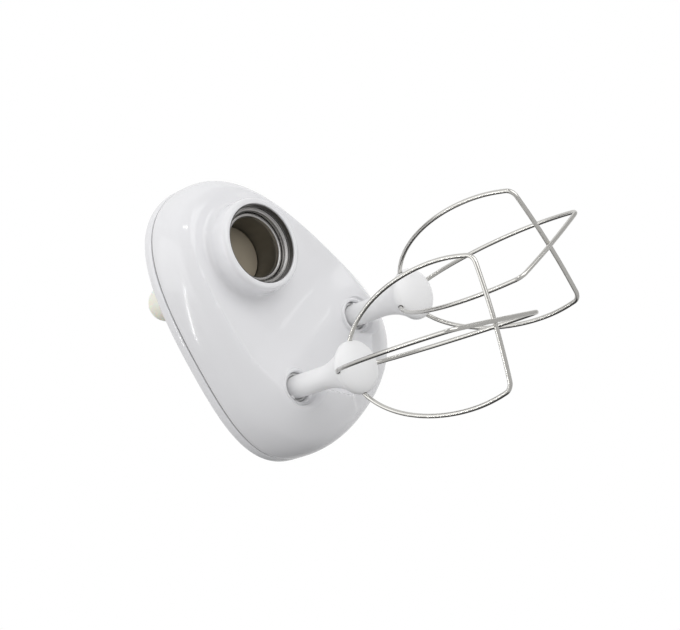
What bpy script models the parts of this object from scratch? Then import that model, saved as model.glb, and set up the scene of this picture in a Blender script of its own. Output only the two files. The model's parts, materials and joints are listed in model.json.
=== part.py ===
"""Twin-whisk gear head of a kitchen stand mixer, built as separate pieces.

The head drops over the bowl's centre column: the dark sleeve in its boss takes the column, and a
gear train inside turns two wire whisks against each other.  +Z is up in use, the whisks hang along
-Z, and the origin is the centre of the boss's mouth.
"""
import math

import bmesh
import bpy
from mathutils import Matrix, Vector
from mathutils.geometry import intersect_line_line_2d

MM = 0.001
GAP = 0.3 * MM                       # clearance between neighbouring pieces
WELD = 0.00005

# Housing
WALL = 2.6 * MM
SPLIT_Z = 40.2 * MM                  # rim of the lower shell
SHELL_DEPTH = 41.4 * MM              # from the rim to the lowest point of the underside
SHELL_ROUND = 2.84                   # superellipse exponent of the shell's side
NARROW_END_Y = 46.4 * MM
WIDE_END_Y = -121.8 * MM
HALF_WIDTH = 57.8 * MM
OUTLINE_ROUND = 2.135
OUTLINE_TAPER = -0.286               # makes the whisk end wider than the boss end
OUTLINE_BELLY = 0.24
SHRINK_CENTRE_Y = -61.2 * MM         # the point towards which the outline shrinks going down
TROUGH_Z = 15.0 * MM                 # floor of the dished underside
OUTLINE_STEPS = 40
SIDE_STEPS = 8
DOME_STEPS = 5
COVER_BOTTOM_Z = 41.3 * MM
COVER_RIM_Z = 46.6 * MM
COVER_DOME = 6.4 * MM
COVER_WALL = 2.4 * MM
COVER_ROUND = 2.5
SEAL_Z = (40.45 * MM, 41.05 * MM)

# Boss and the parts that take the column
BOSS_R = 26.6 * MM
MOUTH_R = 22.6 * MM
SLEEVE_BORE_R = 17.4 * MM
SLEEVE_R = 19.4 * MM
BOSS_TOP_Z = 21.5 * MM

# Whisk sockets
WHISK_X = 33.6 * MM
WHISK_Y = -73.3 * MM
SOCKET_RIM_Z = 9.95 * MM
SOCKET_HOLE_R = 8.32 * MM
SHANK_R = 6.4 * MM
SPINDLE_BORE_R = 6.8 * MM
SPINDLE_R = 8.0 * MM
BUSH_SEAT_R = 10.8 * MM

# Gear train
MODULE = 1.5 * MM
PRESSURE_ANGLE = math.radians(20)
SUN_TEETH, IDLER_A_TEETH, IDLER_B_TEETH, PINION_TEETH = 44, 22, 18, 20
GEAR_Z = (24.0 * MM, 32.0 * MM)
TOOTH_THINNING = 0.12                # share of a half pitch taken off each tooth as backlash

# Gear plate
PLATE_Z = (35.0 * MM, 37.0 * MM)
PLATE_SCALE = 0.84
POSTS = [(41 * MM, -36 * MM), (-41 * MM, -36 * MM), (18 * MM, -97 * MM), (-18 * MM, -97 * MM)]
AXLE_R = 4.0 * MM

# Whisks
HUB_RIM_R = 14.6 * MM
HUB_RIM_Z = -37.0 * MM
WIRE_R = 1.2 * MM
CAGE_R = 38.0 * MM                   # half-width of a wire loop at its widest
CAGE_MID_Z = -104.0 * MM             # height of that widest place
CAGE_HALF_LENGTH = 72.0 * MM         # long semi-axis of the loop's elliptical sides
CAGE_TIP_Z = -138.5 * MM
CORNER_R = 5.5 * MM
WHISK_ANGLES = (math.radians(119.4), math.radians(93.7))

# Knob
KNOB_Y = -9.5 * MM
KNOB_R = 11.8 * MM
KNOB_TOP_Z = 110.0 * MM
KNOB_SEAT_Z = 53.6 * MM

for old in list(bpy.data.objects):
    bpy.data.objects.remove(old)

PARTS = bpy.data.collections.new("whisk_drive")
CUTTERS = bpy.data.collections.new("whisk_drive_cutters")
bpy.context.scene.collection.children.link(PARTS)
bpy.context.scene.collection.children.link(CUTTERS)


# ---------------------------------------------------------------- helpers

def material(name, colour, roughness, metallic=0.0):
    mat = bpy.data.materials.new(name)
    mat.use_nodes = True
    shader = mat.node_tree.nodes["Principled BSDF"]
    shader.inputs["Base Color"].default_value = (*colour, 1)
    shader.inputs["Roughness"].default_value = roughness
    shader.inputs["Metallic"].default_value = metallic
    return mat


def link(name, data, mat, parent=None, cutter=False):
    """Put data in the scene as a part, or as a wire-drawn cutter."""
    obj = bpy.data.objects.new(name, data)
    (CUTTERS if cutter else PARTS).objects.link(obj)
    if cutter:
        obj.hide_render = True
        obj.display_type = "WIRE"
    else:
        data.materials.append(mat)
    if parent:
        obj.parent = parent
    return obj


def pivot(name, x, y, parent=None):
    """An empty on a vertical joint axis; the pieces that turn with it are its children."""
    empty = bpy.data.objects.new(name, None)
    PARTS.objects.link(empty)
    empty.location = (x, y, 0)
    empty.parent = parent
    return empty


def turned(name, profile, mat=None, at=(0, 0), steps=24, ring=True, parent=None, cutter=False):
    """Turn a profile of (radius, z) points, given down the outer side, about a vertical axis."""
    mesh = bpy.data.meshes.new(name)
    count = len(profile)
    edges = [(i, i + 1) for i in range(count - 1)] + ([(count - 1, 0)] if ring else [])
    mesh.from_pydata([(r, 0, z) for r, z in profile], edges, [])
    obj = link(name, mesh, mat, parent, cutter)
    obj.location = (at[0], at[1], 0)
    screw = obj.modifiers.new("turn", "SCREW")
    screw.steps = screw.render_steps = steps
    screw.use_merge_vertices = True
    screw.merge_threshold = WELD
    return obj


def tube(name, inner, outer, low, high, mat=None, **placing):
    """A plain ring of rectangular section."""
    return turned(name, [(outer, high), (outer, low), (inner, low), (inner, high)], mat, **placing)


def rod(name, radius, low, high, mat=None, **placing):
    """A plain solid cylinder."""
    return turned(name, [(0, high), (radius, high), (radius, low), (0, low)], mat, ring=False, **placing)


def flat_plate(name, loops, low, high, mat=None, at=(0, 0), parent=None, cutter=False):
    """A plate between two heights from closed outlines; inner outlines become holes."""
    curve = bpy.data.curves.new(name, "CURVE")
    curve.dimensions = "2D"
    curve.fill_mode = "BOTH"
    curve.extrude = (high - low) / 2
    for loop in loops:
        spline = curve.splines.new("POLY")
        spline.points.add(len(loop) - 1)
        for point, (x, y) in zip(spline.points, loop):
            point.co = (x, y, 0, 1)
        spline.use_cyclic_u = True
    draft = link(name + "_outline", curve, mat, cutter=True)
    bpy.context.view_layer.update()
    mesh = bpy.data.meshes.new_from_object(draft.evaluated_get(bpy.context.evaluated_depsgraph_get()))
    bpy.data.objects.remove(draft)
    weld(mesh)
    mesh.transform(Matrix.Translation((0, 0, (low + high) / 2)))
    mesh.materials.clear()
    obj = link(name, mesh, mat, parent, cutter)
    obj.location = (at[0], at[1], 0)
    return obj


def weld(mesh):
    work = bmesh.new()
    work.from_mesh(mesh)
    bmesh.ops.remove_doubles(work, verts=work.verts, dist=WELD / 5)
    bmesh.ops.recalc_face_normals(work, faces=work.faces)
    work.to_mesh(mesh)
    work.free()


def lofted(name, rings, mat, first_pole, last_pole):
    """Skin closed rings in order; a pole point closes each end."""
    work = bmesh.new()
    loops = [[work.verts.new(point) for point in ring] for ring in rings]
    count = len(rings[0])
    for loop, pole in ((loops[0], first_pole), (loops[-1], last_pole)):
        tip = work.verts.new(pole)
        for i in range(count):
            work.faces.new((loop[i], loop[(i + 1) % count], tip))
    for upper, lower in zip(loops, loops[1:]):
        for i in range(count):
            j = (i + 1) % count
            work.faces.new((upper[i], lower[i], lower[j], upper[j]))
    bmesh.ops.recalc_face_normals(work, faces=work.faces)
    mesh = bpy.data.meshes.new(name)
    work.to_mesh(mesh)
    work.free()
    return link(name, mesh, mat)


def boolean(obj, other, operation):
    step = obj.modifiers.new(operation.lower(), "BOOLEAN")
    step.operation = operation
    step.object = other


def circle(radius, steps, x=0.0, y=0.0):
    return [(x + radius * math.cos(math.tau * i / steps), y + radius * math.sin(math.tau * i / steps))
            for i in range(steps)]


def soft_power(value, exponent):
    return math.copysign(abs(value) ** exponent, value)


def smooth_step(value, start, end):
    share = min(1.0, max(0.0, (value - start) / (end - start)))
    return share * share * (3 - 2 * share)


def smooth_max(a, b, blend):
    share = min(1.0, max(0.0, 0.5 + (a - b) / (2 * blend)))
    return b + (a - b) * share + blend * share * (1 - share)


# ---------------------------------------------------------------- housing shapes

def outline_point(turn):
    """A point of the egg-shaped outline, turn going once round from 0 to tau."""
    across = soft_power(math.cos(turn), 2 / OUTLINE_ROUND)
    along = soft_power(math.sin(turn), 2 / OUTLINE_ROUND)
    width = HALF_WIDTH * (1 + OUTLINE_TAPER * along + OUTLINE_BELLY * along ** 2)
    middle = (NARROW_END_Y + WIDE_END_Y) / 2
    return Vector((width * across, middle + (NARROW_END_Y - WIDE_END_Y) / 2 * along))


def outline(inset):
    """The egg outline, moved inwards by inset."""
    points = [outline_point(math.tau * (i + 0.5) / OUTLINE_STEPS) for i in range(OUTLINE_STEPS)]
    moved = []
    for i, point in enumerate(points):
        run = (points[(i + 1) % OUTLINE_STEPS] - points[i - 1]).normalized()
        moved.append(point + Vector((-run.y, run.x)) * inset)
    return moved


def trough(x, y):
    """Height of the dish that is pressed into the underside between the boss and the whisks."""
    side_fall = 5.5 * MM * (x / (48 * MM)) ** 4
    whisk_fall = 3.2 * MM * smooth_step(-y, 40 * MM, 66 * MM)
    end_lip = 14 * MM * smooth_step(-y, 80 * MM, 96 * MM)
    return TROUGH_Z - side_fall - whisk_fall - end_lip


def underside(point, height, inset):
    return smooth_max(height, trough(point.x, point.y) + inset, 1.5 * MM)


def bowl_rings(inset):
    """Rings of the lower shell's outer or inner skin, from the rim down, and the closing point."""
    edge = outline(inset)
    centre = Vector((0, SHRINK_CENTRE_Y))
    depth = SHELL_DEPTH - inset
    rings = []
    for k in range(SIDE_STEPS):
        angle = math.pi / 2 * k / SIDE_STEPS
        share = math.cos(angle) ** (2 / SHELL_ROUND)
        height = SPLIT_Z - depth * math.sin(angle) ** (2 / SHELL_ROUND)
        ring = []
        for p in edge:
            q = centre + share * (p - centre)
            ring.append((q.x, q.y, underside(q, height, inset) if k else SPLIT_Z))
        rings.append(ring)
    return rings, (centre.x, centre.y, underside(centre, SPLIT_Z - depth, inset))


def floor_height(at):
    """Height, well inside the wall, of the lower shell's floor under a point."""
    inset = 0.9 * WALL
    centre = Vector((0, SHRINK_CENTRE_Y))
    reach = Vector(at) - centre
    edge = outline(inset)
    hits = [intersect_line_line_2d(centre, centre + reach.normalized(), a, b)
            for a, b in zip(edge, edge[1:] + edge[:1])]
    radius = min((hit - centre).length for hit in hits if hit)
    side = (1 - (reach.length / radius) ** SHELL_ROUND) ** (1 / SHELL_ROUND)
    return underside(Vector(at), SPLIT_Z - (SHELL_DEPTH - inset) * side, inset)


def dome_rings(inset):
    """Rings of the cover's outer or inner skin, from the crown to the rim, and the crown point."""
    edge = outline(inset)
    centre = Vector((0, SHRINK_CENTRE_Y))
    rings = []
    for k in range(1, DOME_STEPS + 1):
        angle = math.pi / 2 * (1 - k / DOME_STEPS)
        share = math.cos(angle) ** (2 / COVER_ROUND)
        rise = (COVER_DOME - inset) * math.sin(angle) ** (2 / COVER_ROUND)
        rings.append([(centre.x + share * (p.x - centre.x), centre.y + share * (p.y - centre.y),
                       COVER_RIM_Z + rise) for p in edge])
    return rings, (centre.x, centre.y, COVER_RIM_Z + COVER_DOME - inset)


# ---------------------------------------------------------------- gears

def gear_outline(teeth, first_tooth_angle):
    """Involute tooth outline, with the middle of one tooth at first_tooth_angle."""
    pitch_r = MODULE * teeth / 2
    base_r = pitch_r * math.cos(PRESSURE_ANGLE)
    root_r = pitch_r - 1.25 * MODULE
    tip_r = pitch_r + 0.9 * MODULE

    def involute(radius):
        return math.sqrt(max(0.0, (radius / base_r) ** 2 - 1)) - math.acos(min(1.0, base_r / radius))

    half_pitch = math.pi / (2 * teeth) * (1 - TOOTH_THINNING) + involute(pitch_r)
    flank = [(radius, half_pitch - involute(radius)) for radius in (pitch_r - 0.5 * MODULE, pitch_r, tip_r)]
    flank[0] = (root_r, flank[0][1] + 0.15 * math.pi / teeth)
    points = []
    for k in range(teeth):
        middle = first_tooth_angle + math.tau * k / teeth
        for radius, angle in flank:
            points.append((radius, middle - angle))
        for radius, angle in reversed(flank):
            points.append((radius, middle + angle))
    return [(r * math.cos(a), r * math.sin(a)) for r, a in points]


def meshed_angle(teeth_a, angle_a, centre_a, teeth_b, centre_b):
    """Angle of gear b's first tooth so that its gaps take gear a's teeth."""
    towards = math.atan2(centre_b[1] - centre_a[1], centre_b[0] - centre_a[0])
    share = teeth_a * (towards - angle_a) / math.tau
    return towards + math.pi - math.tau / teeth_b * (0.5 - share)


def third_corner(a, b, from_a, from_b, side):
    """The point at given distances from a and b, on the left (+1) or right (-1) of a to b."""
    a, b = Vector(a), Vector(b)
    span = (b - a).length
    run = (b - a) / span
    along = (span ** 2 + from_a ** 2 - from_b ** 2) / (2 * span)
    off = math.sqrt(from_a ** 2 - along ** 2) * side
    point = a + run * along + Vector((-run.y, run.x)) * off
    return (point.x, point.y)


def centre_distance(teeth_a, teeth_b):
    return MODULE * (teeth_a + teeth_b) / 2


SUN_AT = (0.0, 0.0)
PINION_AT = [(WHISK_X, WHISK_Y), (-WHISK_X, WHISK_Y)]
IDLER_A_AT = third_corner(SUN_AT, PINION_AT[0], centre_distance(SUN_TEETH, IDLER_A_TEETH),
                          centre_distance(IDLER_A_TEETH, PINION_TEETH), -1)
IDLER_B_AT = third_corner(IDLER_A_AT, PINION_AT[1], centre_distance(IDLER_A_TEETH, IDLER_B_TEETH),
                          centre_distance(IDLER_B_TEETH, PINION_TEETH), -1)


# ---------------------------------------------------------------- pieces

def blind_post(name, radius, hole_r, low, floor, high, at, steps):
    """A cylinder with a blind hole down from its top."""
    return turned(name, [(0, floor), (hole_r, floor), (hole_r, high), (radius, high), (radius, low),
                         (0, low)],
                  at=at, steps=steps, ring=False, cutter=True)


def make_lower_housing(mat):
    """The deep lower shell with its boss, socket seats, screw posts and axle seats."""
    outside, outer_pole = bowl_rings(0.0)
    inside, inner_pole = bowl_rings(WALL)
    shell = lofted("lower_housing", outside[::-1] + inside, mat, outer_pole, inner_pole)
    boolean(shell, rod("boss_opening", MOUTH_R + 1.5 * MM, -5 * MM, 30 * MM, steps=32, cutter=True),
            "DIFFERENCE")
    boss = turned("boss", [(BOSS_R - 1 * MM, BOSS_TOP_Z), (BOSS_R + 5 * MM, 16.4 * MM),
                           (BOSS_R + 1.5 * MM, 13 * MM), (BOSS_R, 9.8 * MM), (BOSS_R, 2.2 * MM),
                           (BOSS_R - 0.8 * MM, 0.6 * MM), (BOSS_R - 2.2 * MM, 0), (MOUTH_R, 0),
                           (MOUTH_R, BOSS_TOP_Z)], steps=32, cutter=True)
    boolean(shell, boss, "UNION")
    for i, at in enumerate(PINION_AT):
        opening = rod(f"socket_opening_{i + 1}", SOCKET_HOLE_R + 1.3 * MM, 0, 30 * MM, at=at, steps=24,
                      cutter=True)
        boolean(shell, opening, "DIFFERENCE")
        seat = turned(f"socket_seat_{i + 1}",
                      [(13.2 * MM, 22.5 * MM), (13.2 * MM, 12.8 * MM), (11.4 * MM, 10.7 * MM),
                       (10.2 * MM, SOCKET_RIM_Z), (SOCKET_HOLE_R, SOCKET_RIM_Z), (SOCKET_HOLE_R, 14.6 * MM),
                       (BUSH_SEAT_R, 14.6 * MM), (BUSH_SEAT_R, 22.5 * MM)], at=at, steps=24, cutter=True)
        boolean(shell, seat, "UNION")
    for i, at in enumerate(POSTS):
        boolean(shell, blind_post(f"post_{i + 1}", 4.2 * MM, 1.8 * MM, floor_height(at), 26.5 * MM,
                                  PLATE_Z[0] - GAP, at, 12), "UNION")
    for name, at in (("a", IDLER_A_AT), ("b", IDLER_B_AT)):
        boolean(shell, blind_post(f"axle_seat_{name}", 7 * MM, AXLE_R + GAP, floor_height(at), 18.5 * MM,
                                  22.5 * MM, at, 20), "UNION")


def make_cover(mat):
    """The shallow upper cover with its locating lip and the knob's seat."""
    outside, outer_pole = dome_rings(0.0)
    inside, inner_pole = dome_rings(COVER_WALL)
    lip_in = 4.5 * MM
    lip_low = 38 * MM
    steps_under = [(0.0, COVER_BOTTOM_Z), (WALL + GAP, COVER_BOTTOM_Z), (WALL + GAP, lip_low),
                   (lip_in, lip_low), (lip_in, COVER_RIM_Z - 1.5 * MM)]
    under = [[(p.x, p.y, z) for p in outline(inset)] for inset, z in steps_under]
    cover = lofted("upper_cover", outside + under + inside[::-1][1:], mat, outer_pole, inner_pole)
    boolean(cover, rod("knob_seat", 13 * MM, 49 * MM, KNOB_SEAT_Z, at=(0, KNOB_Y), steps=24,
                       cutter=True), "UNION")
    boolean(cover, rod("knob_hole", 2.5 * MM, 40 * MM, 60 * MM, at=(0, KNOB_Y), steps=12,
                       cutter=True), "DIFFERENCE")


def make_seal(mat):
    """The thin rubber seal that closes the joint between the two shells."""
    loops = [[(p.x, p.y) for p in outline(inset)] for inset in (0.5 * MM, WALL - 0.4 * MM)]
    flat_plate("cover_seal", loops, SEAL_Z[0], SEAL_Z[1], mat)


def make_knob(mat, steel):
    """The tall round grip on the cover, with the screw and washer that hold it from inside."""
    at = (0, KNOB_Y)
    mid, half, shape = 90 * MM, 20 * MM, 3.0
    profile = [(0, KNOB_TOP_Z)]
    for k in range(1, 7):
        height = half * math.cos(math.pi * 0.62 * k / 6)
        profile.append((KNOB_R * (1 - abs(height / half) ** shape) ** (1 / shape), mid + height))
    base = KNOB_SEAT_Z + GAP
    profile += [(9.2 * MM, 72 * MM), (8.8 * MM, 63 * MM), (12.2 * MM, 55.4 * MM), (12.2 * MM, base),
                (0, base)]
    knob = turned("knob", profile, mat, at=at, ring=False, steps=24)
    boolean(knob, rod("knob_thread", 2.5 * MM, 50 * MM, 74 * MM, at=at, steps=12, cutter=True), "DIFFERENCE")
    tube("knob_washer", 2.5 * MM, 6 * MM, 47.7 * MM, 48.7 * MM, steel, at=at, steps=12)
    turned("knob_screw", [(0, 72 * MM), (2.1 * MM, 72 * MM), (2.1 * MM, 47.4 * MM), (4 * MM, 47.4 * MM),
                          (4 * MM, 45.4 * MM), (3.4 * MM, 44.8 * MM), (0, 44.8 * MM)], steel, at=at,
           ring=False, steps=12)


def make_gear_plate(mat, steel, plastic):
    """The plate that carries the shafts' upper ends, its screws and the bushes in it."""
    centre = Vector((0, SHRINK_CENTRE_Y))
    edge = [centre + PLATE_SCALE * (p - centre) for p in outline(0.0)]
    holes = [circle(23.3 * MM, 24)]
    holes += [circle(10.6 * MM, 20, *at) for at in PINION_AT]
    holes += [circle(AXLE_R + GAP, 12, *at) for at in (IDLER_A_AT, IDLER_B_AT)]
    holes += [circle(1.8 * MM, 8, *at) for at in POSTS]
    flat_plate("gear_plate", [[(p.x, p.y) for p in edge]] + holes, PLATE_Z[0], PLATE_Z[1], mat)
    head = PLATE_Z[1] + GAP
    for i, at in enumerate(POSTS):
        turned(f"plate_screw_{i + 1}",
               [(0, head + 2.2 * MM), (2.2 * MM, head + 2.2 * MM), (2.8 * MM, head + 1.4 * MM),
                (2.8 * MM, head), (1.5 * MM, head), (1.5 * MM, 27.2 * MM), (0, 27.2 * MM)],
               steel, at=at, ring=False, steps=8)
    flange_low, flange_high = head, head + 0.8 * MM
    turned("sleeve_top_bush", [(25 * MM, flange_high), (25 * MM, flange_low), (23 * MM, flange_low),
                               (23 * MM, 34.4 * MM), (SLEEVE_R + GAP, 34.4 * MM),
                               (SLEEVE_R + GAP, flange_high)],
           plastic, steps=24)
    for i, at in enumerate(PINION_AT):
        turned(f"spindle_{i + 1}_upper_bush",
               [(12 * MM, flange_high), (12 * MM, flange_low), (10.3 * MM, flange_low),
                (10.3 * MM, 34.4 * MM), (SPINDLE_R + GAP, 34.4 * MM), (SPINDLE_R + GAP, flange_high)],
               plastic, at=at, steps=20)


def make_circlip(name, inner, outer, low, mat, parent):
    """A snap ring with its gap, seated in a shaft's groove."""
    opening = math.radians(18)
    steps = 16
    angles = [opening + (math.tau - 2 * opening) * k / steps for k in range(steps + 1)]
    loop = [(outer * math.cos(a), outer * math.sin(a)) for a in angles]
    loop += [(inner * math.cos(a), inner * math.sin(a)) for a in reversed(angles)]
    flat_plate(name, [loop], low, low + 1.0 * MM, mat, parent=parent)


def make_sun(mats):
    """The sleeve with its floor, lip and sun gear, and the rings at the mouth."""
    sun = pivot("sun_axis", *SUN_AT)
    turned("drive_sleeve", [(SLEEVE_R, 41.5 * MM), (SLEEVE_R, 40 * MM), (18.6 * MM, 40 * MM),
                            (18.6 * MM, 38.5 * MM), (SLEEVE_R, 38.5 * MM), (SLEEVE_R, 9.9 * MM),
                            (SLEEVE_BORE_R, 9.9 * MM), (SLEEVE_BORE_R, 41.5 * MM)],
           mats["sleeve"], steps=32, parent=sun)
    turned("sleeve_lip_ring", [(SLEEVE_R, 9.6 * MM), (SLEEVE_R, 7.6 * MM), (SLEEVE_R - 0.5 * MM, 7.2 * MM),
                               (SLEEVE_BORE_R + 0.4 * MM, 7.2 * MM), (SLEEVE_BORE_R, 7.6 * MM),
                               (SLEEVE_BORE_R, 9.6 * MM)], mats["steel"], steps=32, parent=sun)
    rod("socket_floor", SLEEVE_BORE_R - GAP, 26 * MM, 28.5 * MM, mats["floor"], steps=24, parent=sun)
    make_circlip("sleeve_circlip", 18.9 * MM, 21.6 * MM, 38.75 * MM, mats["steel"], sun)
    flat_plate("sun_gear", [gear_outline(SUN_TEETH, 0.0), circle(SLEEVE_R + GAP, 32)], GEAR_Z[0], GEAR_Z[1],
               mats["gear"], parent=sun)
    turned("bearing_ring", [(MOUTH_R - GAP, 14 * MM), (MOUTH_R - GAP, 4.6 * MM),
                            (MOUTH_R - 0.8 * MM, 4.1 * MM), (SLEEVE_R + 1.2 * MM, 4.1 * MM),
                            (SLEEVE_R + GAP, 5.2 * MM), (SLEEVE_R + GAP, 14 * MM)],
           mats["steel"], steps=32)
    tube("mouth_liner", MOUTH_R - 0.7 * MM, MOUTH_R - GAP, 0.7 * MM, 3.8 * MM, mats["steel"], steps=32)


def make_idler(letter, teeth, at, first_tooth, mats):
    """One idler gear on its bush, turning on a fixed axle."""
    axis = pivot(f"idler_{letter}_axis", *at)
    bush_r = 6.0 * MM
    flat_plate(f"idler_{letter}_gear", [gear_outline(teeth, first_tooth), circle(bush_r + GAP, 16)],
               GEAR_Z[0], GEAR_Z[1], mats["gear"], parent=axis)
    tube(f"idler_{letter}_bush", AXLE_R + GAP, bush_r, 23 * MM, 33 * MM, mats["brass"], steps=16,
         parent=axis)
    rod(f"idler_{letter}_axle", AXLE_R, 18.8 * MM, 38 * MM, mats["steel"], at=at, steps=16)


def make_spindle(number, at, first_tooth, mats):
    """A hollow whisk spindle with its pinion, washer, circlip, lower bush and lip seal."""
    axis = pivot(f"spindle_{number}_axis", *at)
    spindle = turned(f"spindle_{number}",
                     [(SPINDLE_R, 40.2 * MM), (SPINDLE_R, 39.6 * MM), (7.1 * MM, 39.6 * MM),
                      (7.1 * MM, 38.3 * MM), (SPINDLE_R, 38.3 * MM), (SPINDLE_R, 12.4 * MM),
                      (SPINDLE_BORE_R, 12.4 * MM), (SPINDLE_BORE_R, 34 * MM), (3 * MM, 34 * MM),
                      (3 * MM, 40.2 * MM)], mats["spindle"], steps=20, parent=axis)
    slot = bpy.data.meshes.new(f"drive_slot_{number}")
    work = bmesh.new()
    bmesh.ops.create_cube(work, size=1.0)
    bmesh.ops.scale(work, verts=work.verts, vec=(24 * MM, 3.2 * MM, 6 * MM))
    work.to_mesh(slot)
    work.free()
    cutter = link(f"drive_slot_{number}", slot, None, cutter=True)
    cutter.location = (at[0], at[1], 12.8 * MM)
    cutter.rotation_euler.z = WHISK_ANGLES[number - 1] + math.radians(45)
    boolean(spindle, cutter, "DIFFERENCE")

    flat_plate(f"pinion_{number}", [gear_outline(PINION_TEETH, first_tooth), circle(SPINDLE_R + GAP, 20)],
               GEAR_Z[0], GEAR_Z[1], mats["gear"], parent=axis)
    tube(f"spindle_{number}_washer", SPINDLE_R + GAP, 11.5 * MM, 22.8 * MM, 23.7 * MM, mats["steel"],
         steps=20, parent=axis)
    make_circlip(f"spindle_{number}_circlip", 7.4 * MM, 9.8 * MM, 38.45 * MM, mats["steel"], axis)
    tube(f"spindle_{number}_lower_bush", SPINDLE_R + GAP, BUSH_SEAT_R - GAP, 16.9 * MM, 22.4 * MM,
         mats["brass"], at=at, steps=20)
    tube(f"spindle_{number}_seal", SPINDLE_R + GAP, BUSH_SEAT_R - GAP, 14.9 * MM, 16.6 * MM,
         mats["rubber"], at=at, steps=20)
    return axis


def side_point(height):
    """Radius of a wire loop's side at a height."""
    depth = (height - CAGE_MID_Z) / CAGE_HALF_LENGTH
    return CAGE_R * math.sqrt(1 - depth * depth)


def loop_half():
    """Half of one wire loop as (radius, z), from inside the hub round to the tip."""
    entry_z = HUB_RIM_Z - 0.6 * MM
    entry_r = side_point(entry_z)
    lower_z = entry_z - 1 * MM
    run = Vector((side_point(lower_z) - entry_r, -1 * MM)).normalized()
    points = [Vector((entry_r, entry_z)) - run * 4.2 * MM]
    corner_top = CAGE_TIP_Z + CORNER_R + 1.2 * MM
    steps = 7
    for k in range(steps + 1):
        height = entry_z + (corner_top - entry_z) * (k / steps) ** 1.25
        points.append(Vector((side_point(height), height)))
    corner_r = points[-1].x - CORNER_R
    for angle in (30, 60, 85):
        turn = math.radians(angle)
        points.append(Vector((corner_r + CORNER_R * math.cos(turn), corner_top - CORNER_R * math.sin(turn))))
    points.append(Vector((corner_r * 0.5, CAGE_TIP_Z + 0.3 * MM)))
    return points


def make_wire(name, angle, end_offset, mat, parent):
    """One bent wire: both ends in the hub, its end side crossing the axis at the tip."""
    half = loop_half()
    outer = [(p.x, p.y) for p in half]
    path = outer + [(0, CAGE_TIP_Z)] + [(-r, z) for r, z in reversed(outer)]
    curve = bpy.data.curves.new(name, "CURVE")
    curve.dimensions = "3D"
    curve.bevel_depth = WIRE_R
    curve.bevel_resolution = 2
    curve.use_fill_caps = True
    spline = curve.splines.new("POLY")
    spline.points.add(len(path) - 1)
    for point, (r, z) in zip(spline.points, path):
        drop = end_offset * smooth_step(-z, 100 * MM, -CAGE_TIP_Z)
        point.co = (r * math.cos(angle), r * math.sin(angle), z - drop, 1)
    return link(name, curve, mat, parent)


def make_whisk(number, at, angle, axis, mats):
    """A whisk: moulded hub with two crossing wire loops and the ring that holds it in its spindle."""
    slide = pivot(f"whisk_{number}_slide", 0, 0, axis)
    rim = HUB_RIM_Z
    profile = [(0, 33 * MM), (5.6 * MM, 33 * MM), (SHANK_R, 32 * MM), (SHANK_R, 28.4 * MM),
               (5.2 * MM, 28.4 * MM), (5.2 * MM, 26 * MM), (SHANK_R, 26 * MM), (SHANK_R, -10 * MM)]
    for k in range(1, 6):
        share = k / 5
        profile.append((SHANK_R + (HUB_RIM_R - SHANK_R) * share ** 2.1, -10 * MM + (rim + 11 * MM) * share))
    profile += [(HUB_RIM_R, rim), (HUB_RIM_R - 1.4 * MM, rim - 1.8 * MM), (10.5 * MM, rim - 4 * MM),
                (5.5 * MM, rim - 5.6 * MM), (0, rim - 6.2 * MM)]
    hub = turned(f"whisk_{number}_hub", profile, mats["hub"], ring=False, steps=20, parent=slide)
    ears = bpy.data.meshes.new(f"drive_ears_{number}")
    work = bmesh.new()
    bmesh.ops.create_cube(work, size=1.0)
    bmesh.ops.scale(work, verts=work.verts, vec=(15.2 * MM, 2.4 * MM, 4.2 * MM))
    work.to_mesh(ears)
    work.free()
    key = link(f"drive_ears_{number}", ears, None, slide, cutter=True)
    key.location = (0, 0, 13.2 * MM)
    key.rotation_euler.z = angle + math.radians(45)
    boolean(hub, key, "UNION")

    half = loop_half()
    entry, outside = half[0], half[2]
    drill = (outside - entry).normalized()
    for quarter in range(4):
        turn = angle + quarter * math.pi / 2
        start = entry - drill * GAP
        length = 12 * MM
        middle = start + drill * length / 2
        mesh = bpy.data.meshes.new(f"wire_hole_{number}_{quarter + 1}")
        work = bmesh.new()
        bmesh.ops.create_cone(work, cap_ends=True, segments=8, radius1=WIRE_R + GAP, radius2=WIRE_R + GAP,
                              depth=length)
        work.to_mesh(mesh)
        work.free()
        hole = link(mesh.name, mesh, None, slide, cutter=True)
        lean = Vector((drill.x * math.cos(turn), drill.x * math.sin(turn), drill.y))
        hole.location = (middle.x * math.cos(turn), middle.x * math.sin(turn), middle.y)
        hole.rotation_euler = lean.to_track_quat("Z", "Y").to_euler()
        boolean(hub, hole, "DIFFERENCE")

    make_wire(f"whisk_{number}_wire_a", angle, -2.8 * MM, mats["wire"], slide)
    make_wire(f"whisk_{number}_wire_b", angle + math.pi / 2, 0.0, mats["wire"], slide)
    tube(f"whisk_{number}_detent_ring", 5.5 * MM, SHANK_R + 0.1 * MM, 26.3 * MM, 28.1 * MM, mats["rubber"],
         steps=16, parent=slide)


def shade(obj):
    if obj.type == "MESH":
        obj.data.shade_smooth()
        obj.data.set_sharp_from_angle(angle=math.radians(35))


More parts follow.
